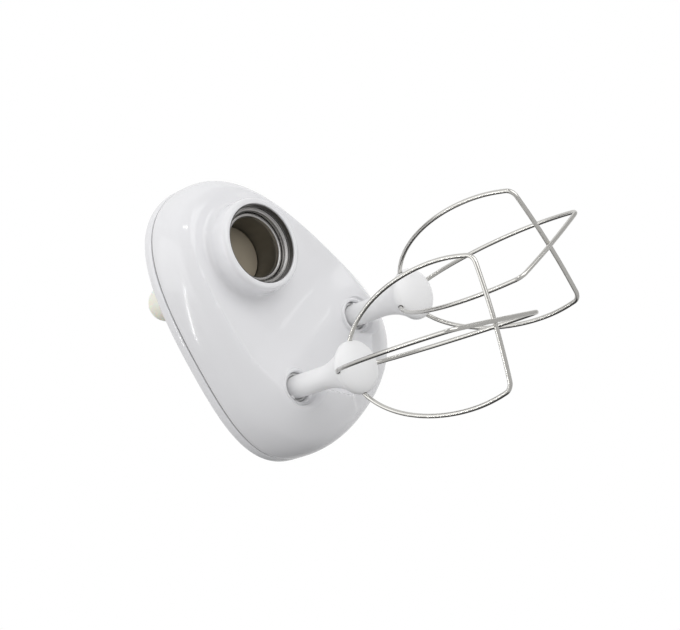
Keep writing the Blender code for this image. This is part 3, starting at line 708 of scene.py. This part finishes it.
def wire_tree(name, material):
    """Geometry nodes that draw a round wire along the object's curve."""
    tree = bpy.data.node_groups.new(name, "GeometryNodeTree")
    for label, kind in (("Path", "Geometry"), ("Radius", "Float"), ("Sides", "Int")):
        tree.interface.new_socket(label, in_out="INPUT", socket_type="NodeSocket" + kind)
    tree.interface.new_socket("Wire", in_out="OUTPUT", socket_type="NodeSocketGeometry")
    kinds = ("NodeGroupInput", "NodeGroupOutput", "GeometryNodeCurvePrimitiveCircle",
             "GeometryNodeCurveToMesh", "GeometryNodeSetShadeSmooth", "GeometryNodeRealizeInstances",
             "GeometryNodeSetMaterial")
    given, made, section, sweep, soften, realize, finish = [tree.nodes.new(kind) for kind in kinds]
    sweep.inputs["Fill Caps"].default_value = True
    finish.inputs["Material"].default_value = material
    for a, b in ((given.outputs["Radius"], section.inputs["Radius"]),
                 (given.outputs["Sides"], section.inputs[0]),
                 (given.outputs["Path"], sweep.inputs["Curve"]),
                 (section.outputs[0], sweep.inputs["Profile Curve"]),
                 (sweep.outputs[0], soften.inputs[0]), (soften.outputs[0], realize.inputs[0]),
                 (realize.outputs[0], finish.inputs[0]), (finish.outputs[0], made.inputs[0])):
        tree.links.new(a, b)
    return tree


def grown(obj, tree, values, name, material):
    """Run a geometry node tree on an object, with named inputs, and keep the plain result."""
    step = obj.modifiers.new("grow", "NODES")
    step.node_group = tree
    for item in tree.interface.items_tree:
        if item.in_out == "INPUT" and item.name in values:
            step[item.identifier] = values[item.name]
    return plain_copy(obj, name, material)


def wire_path(at, angle, offset):
    """One loop's curve: both ends in the hub, its end side crossing the axis at the tip."""
    half = [tuple(p) for p in loop_half()]
    path = half + [(0, CAGE_TIP_Z)] + [(-r, z) for r, z in reversed(half)]
    curve = bpy.data.curves.new("loop", "CURVE")
    curve.dimensions = "3D"
    spline = curve.splines.new("POLY")
    spline.points.add(len(path) - 1)
    for point, (r, z) in zip(spline.points, path):
        lift = offset * float(smooth_step(-z, LIFT_START, -CAGE_TIP_Z))
        point.co = (at[0] + r * math.cos(angle), at[1] + r * math.sin(angle), z + lift, 1)
    obj = bpy.data.objects.new("loop", curve)
    bpy.context.scene.collection.objects.link(obj)
    return obj


def whisk_hub(number, at, angle, material):
    """A hub: shank, flare and domed end, with its drive ears and the wires' holes."""
    profile = [(0, 33 * MM), (5.4 * MM, 33 * MM), (SHANK_R, 32 * MM), (SHANK_R, 28.4 * MM),
               (5.2 * MM, 28.4 * MM), (5.2 * MM, 26 * MM), (SHANK_R, 26 * MM), (SHANK_R, 10 * MM),
               (SHANK_R, FLARE_TOP_Z)]
    for s in np.linspace(0, 1, 22)[1:]:
        profile.append((SHANK_R + (HUB_RIM_R - SHANK_R) * s ** FLARE_ROUND, FLARE_TOP_Z - FLARE_LENGTH * s))
    profile += arc((0, HUB_RIM_Z - 0.2 * MM), HUB_RIM_R, -6 * MM, 4, 90, 20)
    hub = turned(f"whisk_hub_{number}", profile, material, at, 80, ring=False, corner=0.25 * MM, angle=40)
    half = loop_half()
    inner, outer = half[0], half[2]
    lean = (outer - inner).normalized()
    steps = [("UNION", box_bar(EAR_SIZE, (*at, 13.2 * MM), angle + EAR_TURN))]
    for quarter in range(4):
        turn = angle + quarter * math.pi / 2
        out = Vector((math.cos(turn), math.sin(turn), 0))
        drill = out * lean.x + Vector((0, 0, lean.y))
        middle = Vector((*at, 0)) + out * inner.x + Vector((0, 0, inner.y)) + drill * 5.7 * MM
        mesh = bpy.data.meshes.new("drill")
        work = bmesh.new()
        bmesh.ops.create_cone(work, cap_ends=True, segments=20, radius1=WIRE_HOLE_R, radius2=WIRE_HOLE_R,
                              depth=12 * MM)
        place = Matrix.Translation(middle) @ drill.to_track_quat("Z", "Y").to_matrix().to_4x4()
        bmesh.ops.transform(work, verts=work.verts, matrix=place)
        work.to_mesh(mesh)
        work.free()
        steps.append(("DIFFERENCE", link_mesh("drill", mesh, material)))
    return carved(hub, steps, 40)


# ---------------------------------------------------------------- properties

class ShellSettings(bpy.types.PropertyGroup):
    """Sizes and colours of the two shells and their seal."""
    colour: FloatVectorProperty(
        name="Shell colour", description="Colour of the white plastic", subtype="COLOR",
        default=(0.84, 0.84, 0.855), min=0, max=1)
    roughness: FloatProperty(
        name="Roughness", description="How matt the shell is", default=0.16, min=0, max=1, subtype="FACTOR")
    boss_blend: FloatProperty(
        name="Boss blend radius", description="Radius at which the boss starts to rise",
        default=30.2 * MM, min=29 * MM, max=36 * MM, subtype="DISTANCE", unit="LENGTH")
    socket_blend: FloatProperty(
        name="Socket blend radius", description="Radius at which a socket's collar starts",
        default=11.2 * MM, min=10.5 * MM, max=18 * MM, subtype="DISTANCE", unit="LENGTH")
    seal_colour: FloatVectorProperty(
        name="Seal colour", description="Colour of the seam's rubber", subtype="COLOR",
        default=(0.34, 0.335, 0.33), min=0, max=1)


class MouthSettings(bpy.types.PropertyGroup):
    """Colours inside the boss."""
    steel: FloatVectorProperty(
        name="Steel colour", description="Colour of the rings", subtype="COLOR",
        default=(0.50, 0.49, 0.48), min=0, max=1)
    sleeve: FloatVectorProperty(
        name="Sleeve colour", description="Colour of the dark sleeve", subtype="COLOR",
        default=(0.29, 0.275, 0.245), min=0, max=1)
    floor: FloatVectorProperty(
        name="Floor colour", description="Colour of the disc at the sleeve's bottom", subtype="COLOR",
        default=(0.35, 0.305, 0.235), min=0, max=1)


class WhiskSettings(bpy.types.PropertyGroup):
    """Sizes and colours of the two whisks."""
    wire_radius: FloatProperty(
        name="Wire radius", description="Radius of the bent wire",
        default=1.2 * MM, min=0.6 * MM, max=1.4 * MM, subtype="DISTANCE", unit="LENGTH")
    wire_sides: IntProperty(name="Wire sides", description="Faces round a wire", default=14, min=6, max=32)
    wire: FloatVectorProperty(
        name="Wire colour", description="Colour of the steel wire", subtype="COLOR",
        default=(0.66, 0.65, 0.62), min=0, max=1)
    hub: FloatVectorProperty(
        name="Hub colour", description="Colour of the white hubs", subtype="COLOR",
        default=(0.92, 0.92, 0.925), min=0, max=1)


class KnobSettings(bpy.types.PropertyGroup):
    """Colour of the grip on the cover."""
    colour: FloatVectorProperty(
        name="Knob colour", description="Colour of the cream plastic", subtype="COLOR",
        default=(0.90, 0.90, 0.80), min=0, max=1)


class StageSettings(bpy.types.PropertyGroup):
    """Floor, lights and camera."""
    floor_z: FloatProperty(
        name="Floor height", description="Height of the floor under the hanging head",
        default=-0.8, subtype="DISTANCE", unit="LENGTH")
    sky: FloatProperty(
        name="Sky strength", description="Brightness of the studio's white walls", default=0.88, min=0)
    lens: FloatProperty(
        name="Focal length", description="The camera's focal length in millimetres", default=77.652, min=20)


# ---------------------------------------------------------------- operators

class WHISKHEAD_OT_shells(bpy.types.Operator):
    """Build the lower shell with its boss, dish and sockets, the upper cover and the seal"""
    bl_idname = "whiskhead.shells"
    bl_label = "Shells"

    def execute(self, context):
        settings = context.scene.whiskhead_shell
        white = FINISH["white_shell"]
        shell = shell_blank(settings, white)
        steps = [("DIFFERENCE", shell_cavity()), ("DIFFERENCE", plug(22.3 * MM, 19 * MM, 45 * MM, steps=96))]
        steps += [("DIFFERENCE", plug(10.6 * MM, 19 * MM, 25 * MM, at)) for at in WHISK_AT]
        settle(carved(shell, steps), "housing", ["lower_housing"])

        cover = cover_blank(white)
        steps = [("UNION", plug(13 * MM, 49 * MM, 52.5 * MM, KNOB_AT)),
                 ("DIFFERENCE", plug(2.5 * MM, 40 * MM, 60 * MM, KNOB_AT, 32))]
        settle(carved(cover, steps), "housing", ["upper_cover"])

        low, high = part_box("cover_seal")
        outer, inner = 0.5 * MM, 2.2 * MM
        section = rounded([(outer, low.z), (inner, low.z), (inner, high.z), (outer, high.z)], 0.15 * MM)
        rows = levels(section)
        points = np.vstack(rows)
        faces = quads(len(rows), EDGE_STEPS, close_rows=True)
        seal = solid("seam_seal", points, faces, FINISH["seal_rubber"])
        settle(smooth(seal), "housing", ["cover_seal"])
        return {"FINISHED"}


class WHISKHEAD_OT_mouth(bpy.types.Operator):
    """Build the steel rings, the dark sleeve and its floor inside the boss"""
    bl_idname = "whiskhead.mouth"
    bl_label = "Mouth of the boss"

    def execute(self, context):
        low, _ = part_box("bearing_ring")
        ring = [(MOUTH_R - GAP, 14 * MM), (MOUTH_R - GAP, low.z + 0.4 * MM), (MOUTH_R - 0.7 * MM, low.z),
                (21.1 * MM, low.z), (20.9 * MM, 4.5 * MM), (20.5 * MM, 4.5 * MM), (19.9 * MM, 5.1 * MM),
                (SLEEVE_R + GAP, 5.6 * MM), (SLEEVE_R + GAP, 14 * MM)]
        low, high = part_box("mouth_liner")
        outer, inner = MOUTH_R - GAP, MOUTH_R - 0.7 * MM
        liner = [(outer, high.z), (outer, low.z), (inner, low.z), (inner, 2.1 * MM),
                 (inner + 0.12 * MM, 2.3 * MM), (inner, 2.5 * MM), (inner, high.z)]
        # The liner takes the darkened steel: painted shade inside the mouth's rim.
        settle(turned("liner_ring", liner, FINISH["shaded_liner_steel"], steps=144, corner=0.1 * MM), "housing",
               ["mouth_liner"])
        settle(turned("steel_ring", ring, FINISH["bright_steel"], steps=144, corner=0.12 * MM), "housing",
               ["bearing_ring"])
        lip = [(SLEEVE_R, 9.6 * MM), (SLEEVE_R, 7.6 * MM), (18.9 * MM, 7.2 * MM), (17.9 * MM, 7.2 * MM),
               (SLEEVE_BORE_R, 7.7 * MM), (SLEEVE_BORE_R, 9.6 * MM)]
        settle(turned("lip_ring", lip, FINISH["bright_steel"], steps=144, corner=0.2 * MM), "sun",
               ["sleeve_lip_ring"])
        sleeve = [(SLEEVE_R, 41.5 * MM), (SLEEVE_R, 40 * MM), (18.6 * MM, 40 * MM), (18.6 * MM, 38.5 * MM),
                  (SLEEVE_R, 38.5 * MM), (SLEEVE_R, 9.9 * MM), (SLEEVE_BORE_R, 9.9 * MM),
                  (SLEEVE_BORE_R, 41.5 * MM)]
        settle(turned("column_sleeve", sleeve, FINISH["dark_sleeve"], steps=128, corner=0.25 * MM), "sun",
               ["drive_sleeve"])
        disc_r = SLEEVE_BORE_R - GAP
        disc = [(0, 28.5 * MM), (disc_r, 28.5 * MM), (disc_r, 26 * MM), (0, 26 * MM)]
        settle(turned("sleeve_disc", disc, FINISH["tan_floor"], steps=96, ring=False, corner=0.5 * MM), "sun",
               ["socket_floor"])
        return {"FINISHED"}


class WHISKHEAD_OT_whisks(bpy.types.Operator):
    """Build both whisks: hubs and crossing wire loops, and the spindles that hold them"""
    bl_idname = "whiskhead.whisks"
    bl_label = "Whisks"

    def execute(self, context):
        settings = context.scene.whiskhead_whisk
        tree = wire_tree("bent_wire", FINISH["whisk_wire"])
        for number, (at, angle) in enumerate(zip(WHISK_AT, WHISK_ANGLES), 1):
            body = f"whisk_{number}"
            hub = whisk_hub(number, at, angle, FINISH["white_hub"])
            settle(hub, body, [f"whisk_{number}_hub"])
            for letter, turn, offset in (("a", angle, LOOP_SPACING), ("b", angle + math.pi / 2, 0.0)):
                wire = grown(wire_path(at, turn, offset), tree,
                             {"Radius": settings.wire_radius, "Sides": settings.wire_sides},
                             f"wire_loop_{number}{letter}", FINISH["whisk_wire"])
                merge_doubles(wire.data)
                settle(smooth(wire, 60), body, [f"whisk_{number}_wire_{letter}"])
            spindle = [(SPINDLE_R, 40.2 * MM), (SPINDLE_R, 39.6 * MM), (7.1 * MM, 39.6 * MM),
                       (7.1 * MM, 38.3 * MM), (SPINDLE_R, 38.3 * MM), (SPINDLE_R, 12.4 * MM),
                       (SPINDLE_BORE_R, 12.4 * MM), (SPINDLE_BORE_R, 34 * MM), (3 * MM, 34 * MM),
                       (3 * MM, 40.2 * MM)]
            tube = turned(f"whisk_spindle_{number}", spindle, FINISH["spindle_plastic"], at, 64,
                          corner=0.2 * MM)
            slot = box_bar(EAR_SLOT_SIZE, (*at, 12.8 * MM), angle + EAR_TURN)
            tube = carved(tube, [("DIFFERENCE", slot)])
            settle(tube, f"spindle_{number}", [f"spindle_{number}"])
        return {"FINISHED"}


class WHISKHEAD_OT_knob(bpy.types.Operator):
    """Build the round grip on the cover"""
    bl_idname = "whiskhead.knob"
    bl_label = "Knob"

    def execute(self, context):
        middle, half = 90 * MM, 20 * MM
        profile = [(0, KNOB_HIGH.z)]
        for a in np.linspace(0, 0.62 * math.pi, 30)[1:]:
            height = half * math.cos(a)
            profile.append((KNOB_R * (1 - abs(height / half) ** 3) ** (1 / 3), middle + height))
        waist = np.array([profile[-1], (9.6 * MM, 75 * MM), (8.4 * MM, 62 * MM), (12.2 * MM, 56.6 * MM)])
        for t in np.linspace(0, 1, 18)[1:]:
            profile.append(tuple(np.array(curve_weights(t)) @ waist))
        base = KNOB_LOW.z
        profile += [(12.2 * MM, base), (0, base)]
        knob = turned("cover_knob", profile, FINISH["cream_knob"], KNOB_AT, 96, ring=False, corner=0.3 * MM)
        thread = plug(2.5 * MM, 50 * MM, 74 * MM, KNOB_AT, 32)
        settle(carved(knob, [("DIFFERENCE", thread)]), "housing", ["knob"])
        return {"FINISHED"}


class WHISKHEAD_OT_inner_parts(bpy.types.Operator):
    """Give every remaining part inside the head its finish"""
    bl_idname = "whiskhead.inner_parts"
    bl_label = "Inner parts"

    def execute(self, context):
        slots = {part["node"]: part["material_slot"] for part in frame["record"]["subparts"]}
        for name, node in frame["nodes"].items():
            for place in node.material_slots:
                place.material = FINISH[slots[name]]
        return {"FINISHED"}


def softbox(name, direction, distance, size, long_way, power):
    """A rectangular light towards the head, placed and turned in the camera's right, up and back."""
    axes = Matrix(CAMERA_AXES).transposed()
    back = (axes @ Vector(direction)).normalized()
    side = axes @ Vector(long_way)
    side = (side - back * side.dot(back)).normalized()
    light = bpy.data.lights.new(name, "AREA")
    light.shape = "RECTANGLE"
    light.size, light.size_y = size
    light.energy = power
    obj = bpy.data.objects.new(name, light)
    bpy.context.scene.collection.objects.link(obj)
    place = Matrix((side, back.cross(side), back)).transposed().to_4x4()
    place.translation = HEAD_MIDDLE + back * distance
    obj.matrix_world = place
    obj.visible_camera = False


class WHISKHEAD_OT_stage(bpy.types.Operator):
    """Set the floor, the soft light and the camera"""
    bl_idname = "whiskhead.stage"
    bl_label = "Stage"

    def execute(self, context):
        settings = context.scene.whiskhead_stage
        corners = [(x * FLOOR_HALF, y * FLOOR_HALF, settings.floor_z)
                   for x, y in ((-1, -1), (1, -1), (1, 1), (-1, 1))]
        floor = solid("studio_floor", corners, [(0, 1, 2, 3)], FINISH["floor"])

        world = bpy.data.worlds.new("studio")
        world.use_nodes = True
        context.scene.world = world
        tree = world.node_tree
        wall = tree.nodes["Background"]
        wall.inputs["Strength"].default_value = settings.sky
        white = tree.nodes.new("ShaderNodeBackground")
        white.inputs["Color"].default_value = (1, 1, 1, 1)
        ray, mix = tree.nodes.new("ShaderNodeLightPath"), tree.nodes.new("ShaderNodeMixShader")
        place, ramp = tree.nodes.new("ShaderNodeTexCoord"), tree.nodes.new("ShaderNodeValToRGB")
        parts = tree.nodes.new("ShaderNodeVectorMath")
        parts.operation = "DOT_PRODUCT"
        parts.inputs[1].default_value = SKY_LOW
        shift = tree.nodes.new("ShaderNodeMapRange")
        shift.inputs["From Min"].default_value = -1
        stops = ramp.color_ramp.elements
        for share, _ in SKY_TONES[1:-1]:
            stops.new(share)
        stops[-1].position = SKY_TONES[-1][0]
        for stop, (_, tone) in zip(stops, SKY_TONES):
            stop.color = (tone, tone, tone, 1)
        result = tree.nodes["World Output"]
        for a, b in ((place.outputs["Generated"], parts.inputs[0]), (parts.outputs["Value"], shift.inputs[0]),
                     (shift.outputs[0], ramp.inputs[0]), (ramp.outputs[0], wall.inputs["Color"]),
                     (ray.outputs["Is Camera Ray"], mix.inputs[0]), (wall.outputs[0], mix.inputs[1]),
                     (white.outputs[0], mix.inputs[2]), (mix.outputs[0], result.inputs[0])):
            tree.links.new(a, b)

        lens = bpy.data.cameras.new("camera")
        lens.lens = settings.lens
        lens.clip_start = 0.01
        camera = bpy.data.objects.new("camera", lens)
        context.scene.collection.objects.link(camera)
        right, up, back = CAMERA_AXES
        place = Matrix((right, up, back)).transposed().to_4x4()
        place.translation = CAMERA_AT
        camera.matrix_world = place
        context.scene.camera = camera
        context.scene.view_settings.view_transform = "Standard"

        for light in STUDIO_LIGHTS:
            softbox(*light)
        return {"FINISHED"}


# The camera's right, up and back
CAMERA_AXES = ((-0.476962, -0.575242, -0.664532),
               (-0.584085, 0.772423, -0.249414),
               (0.656774, 0.269183, -0.704407))
CAMERA_AT = (0.529476, 0.161048, -0.582861)
HEAD_MIDDLE = Vector((0, -60 * MM, 0))
FLOOR_HALF = 9.0
SKY_LOW = (0.361, -0.755, 0.545)
# Brightness of the walls from opposite the dark lower corner to its middle
SKY_TONES = ((0, 1), (0.6, 0.97), (0.78, 0.80), (0.88, 0.42), (0.94, 0.05))
# Name, direction, distance, size, long way, power
STUDIO_LIGHTS = [
    ("upper_fill", (0.4, 0.7, 0.6), 0.7, (0.7, 0.6), (1, 0, 0), 1.95),
    ("side_fill", (-0.9, 0.05, 0.35), 0.9, (0.6, 0.9), (0, 1, 0), 1.3),
    ("flank_strip", (-0.88, -0.34, 0.32), 0.7, (0.38, 0.010), (0.03, -0.18, -0.29), 0.20),
    ("valley_patch", (0.85, 0.51, 0.10), 0.8, (0.06, 0.03), (0, 0.4, 1), 0.011),
    ("crest_glint", (-0.38, 0.74, 0.55), 0.6, (0.16, 0.02), (1, 0.2, 0.4), 0.11),
]


class WHISKHEAD_PT_panel(bpy.types.Panel):
    """The whisk head's pieces in the 3D view's sidebar"""
    bl_idname = "WHISKHEAD_PT_panel"
    bl_label = "Twin Whisk Head"
    bl_space_type = "VIEW_3D"
    bl_region_type = "UI"
    bl_category = "Whisk Head"

    def draw(self, context):
        for operator, group in PIECES:
            box = self.layout.box()
            box.operator(operator.bl_idname)
            if group:
                settings = getattr(context.scene, group)
                for name in settings.bl_rna.properties.keys():
                    if name not in ("rna_type", "name"):
                        box.prop(settings, name)


GROUPS = {"whiskhead_shell": ShellSettings, "whiskhead_mouth": MouthSettings,
          "whiskhead_whisk": WhiskSettings, "whiskhead_knob": KnobSettings, "whiskhead_stage": StageSettings}
PIECES = [(WHISKHEAD_OT_shells, "whiskhead_shell"), (WHISKHEAD_OT_mouth, "whiskhead_mouth"),
          (WHISKHEAD_OT_whisks, "whiskhead_whisk"), (WHISKHEAD_OT_knob, "whiskhead_knob"),
          (WHISKHEAD_OT_inner_parts, None), (WHISKHEAD_OT_stage, "whiskhead_stage")]
FINISH = {}


def make_finishes(scene):
    """Build every material from the settings."""
    shell, mouth, whisk = scene.whiskhead_shell, scene.whiskhead_mouth, scene.whiskhead_whisk
    FINISH["white_shell"] = moulded("white_shell", shell.colour, shell.roughness, (0.81, 0.81, 0.84),
                                    Coat_Weight=0.35, Coat_Roughness=0.04)
    FINISH["seal_rubber"] = moulded("seal_rubber", shell.seal_colour, 0.7, (0.26, 0.26, 0.26), 1500.0,
                                    0.03 * MM)
    FINISH["bright_steel"] = machined("bright_steel", mouth.steel, 0.28)
    # The liner's steel is darkened to 0.35 of the rings' colour: painted shade for the shadowed band just inside
    # the mouth's rim.
    FINISH["shaded_liner_steel"] = machined("shaded_liner_steel", tuple(c * 0.35 for c in mouth.steel), 0.3)
    FINISH["plate_steel"] = plated("plate_steel", (0.5, 0.5, 0.49), 0.35)
    FINISH["dark_sleeve"] = machined("dark_sleeve", mouth.sleeve, 0.45)
    FINISH["tan_floor"] = moulded("tan_floor", mouth.floor, 0.3, (0.30, 0.26, 0.20))
    FINISH["whisk_wire"] = drawn("whisk_wire", whisk.wire, 0.12)
    FINISH["white_hub"] = moulded("white_hub", whisk.hub, 0.34, (0.89, 0.89, 0.90))
    FINISH["cream_knob"] = moulded("cream_knob", scene.whiskhead_knob.colour, 0.3, (0.84, 0.86, 0.70),
                                   Subsurface_Weight=0.25, Subsurface_Scale=0.01)
    FINISH["acetal_gear"] = moulded("acetal_gear", (0.72, 0.71, 0.64), 0.4, (0.66, 0.64, 0.55))
    FINISH["spindle_plastic"] = moulded("spindle_plastic", (0.72, 0.72, 0.72), 0.35, (0.66, 0.66, 0.66))
    FINISH["bronze_bush"] = sintered("bronze_bush", (0.55, 0.36, 0.16), 0.45)
    FINISH["floor"] = moulded("floor", (0.9, 0.9, 0.9), 0.8, (0.87, 0.87, 0.87), 40.0, 0.2 * MM)


def register():
    for group in GROUPS.values():
        bpy.utils.register_class(group)
    for name, group in GROUPS.items():
        setattr(bpy.types.Scene, name, PointerProperty(type=group))
    for operator, _ in PIECES:
        bpy.utils.register_class(operator)
    bpy.utils.register_class(WHISKHEAD_PT_panel)


def unregister():
    bpy.utils.unregister_class(WHISKHEAD_PT_panel)
    for operator, _ in reversed(PIECES):
        bpy.utils.unregister_class(operator)
    for name in GROUPS:
        delattr(bpy.types.Scene, name)
    for group in reversed(list(GROUPS.values())):
        bpy.utils.unregister_class(group)


def main():
    """Build every piece in order."""
    register()
    make_finishes(bpy.context.scene)
    for operator, _ in PIECES:
        package, name = operator.bl_idname.split(".")
        getattr(getattr(bpy.ops, package), name)()


if __name__ == "__main__":
    main()
